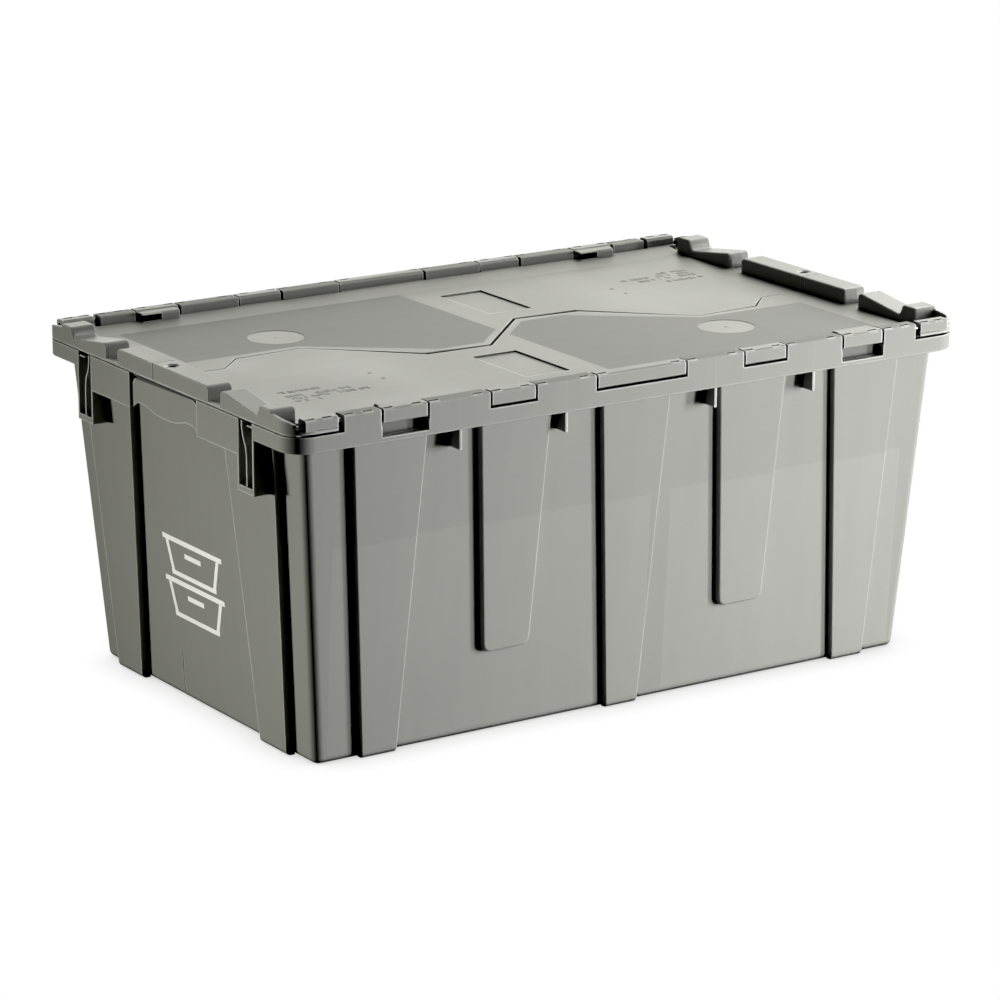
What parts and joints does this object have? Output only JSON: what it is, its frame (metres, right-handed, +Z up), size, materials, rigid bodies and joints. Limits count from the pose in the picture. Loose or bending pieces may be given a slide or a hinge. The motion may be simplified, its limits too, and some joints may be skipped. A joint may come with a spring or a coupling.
{
  "type": "attached lid tote",
  "caption": "Tapered rectangular storage tote with pleated walls, rim lock brackets and hand holds, closed by interlocking lids hinged on steel rods along the long sides.",
  "frame": {"origin": "centre of the footprint, on the floor plane that the underside rests on", "axes": "+Z up, +X along the long sides, +Y across the width from the front lid's hinge side to the rear lid's hinge side"},
  "size_m": [0.682, 0.4274, 0.3089],
  "materials": {
    "grey_moulding": "fine grained, matt",
    "lid_moulding": "fine grained with smoother borders, matt",
    "hinge_steel": "drawn wire"
  },
  "bodies": {
    "tote": {"tote_body": "grey_moulding", "front_hinge_rod": "hinge_steel", "rear_hinge_rod": "hinge_steel"},
    "front_lid": {"front_lid": "lid_moulding"},
    "rear_lid": {"rear_lid": "lid_moulding"}
  },
  "joints": [
    {"name": "front_lid_hinge", "type": "hinge", "parent": "tote", "child": "front_lid", "pos_m": [0, -0.2086, 0.3], "axis": [1, 0, 0], "range_deg": [0, 255]},
    {"name": "rear_lid_hinge", "type": "hinge", "parent": "tote", "child": "rear_lid", "pos_m": [0, 0.2086, 0.3], "axis": [-1, 0, 0], "range_deg": [0, 255]}
  ]
}
